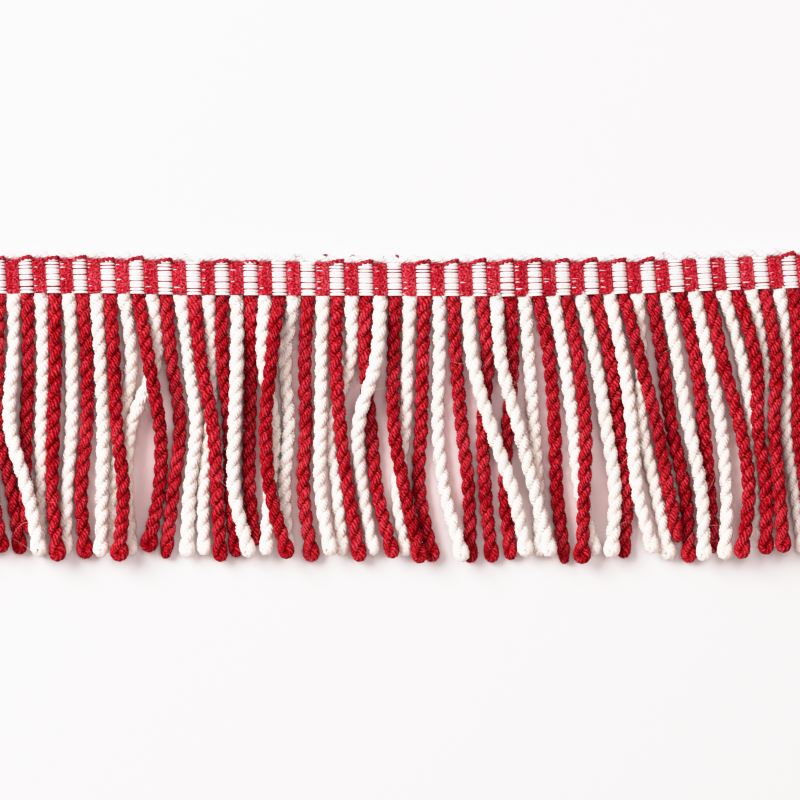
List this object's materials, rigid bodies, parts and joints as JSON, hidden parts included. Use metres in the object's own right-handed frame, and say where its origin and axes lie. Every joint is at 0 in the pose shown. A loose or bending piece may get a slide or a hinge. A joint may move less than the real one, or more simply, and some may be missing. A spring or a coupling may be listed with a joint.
{
  "type": "cut length of bullion fringe, laid flat",
  "caption": "Flat cut length of red and white bullion fringe: a narrow woven heading with ribbed blocks and a skirt of hanging twisted cords.",
  "frame": {"origin": "middle of the heading's flat back, which lies on the surface", "axes": "+X along the heading, +Y from the cords towards the heading's top edge, +Z out of the face"},
  "size_m": [0.1972, 0.0672, 0.0084],
  "materials": {
    "woven_heading": "matte ribbed weave of red and white warp threads in alternate blocks",
    "red_yarn": "soft matte two-ply twisted yarn, slightly fuzzy",
    "white_yarn": "soft matte two-ply twisted yarn, slightly fuzzy"
  },
  "bodies": {
    "root": {"heading": "woven_heading", "fringe_red": "red_yarn", "fringe_white": "white_yarn", "weft_turns_red": "red_yarn", "weft_turns_white": "white_yarn"}
  },
  "joints": []
}
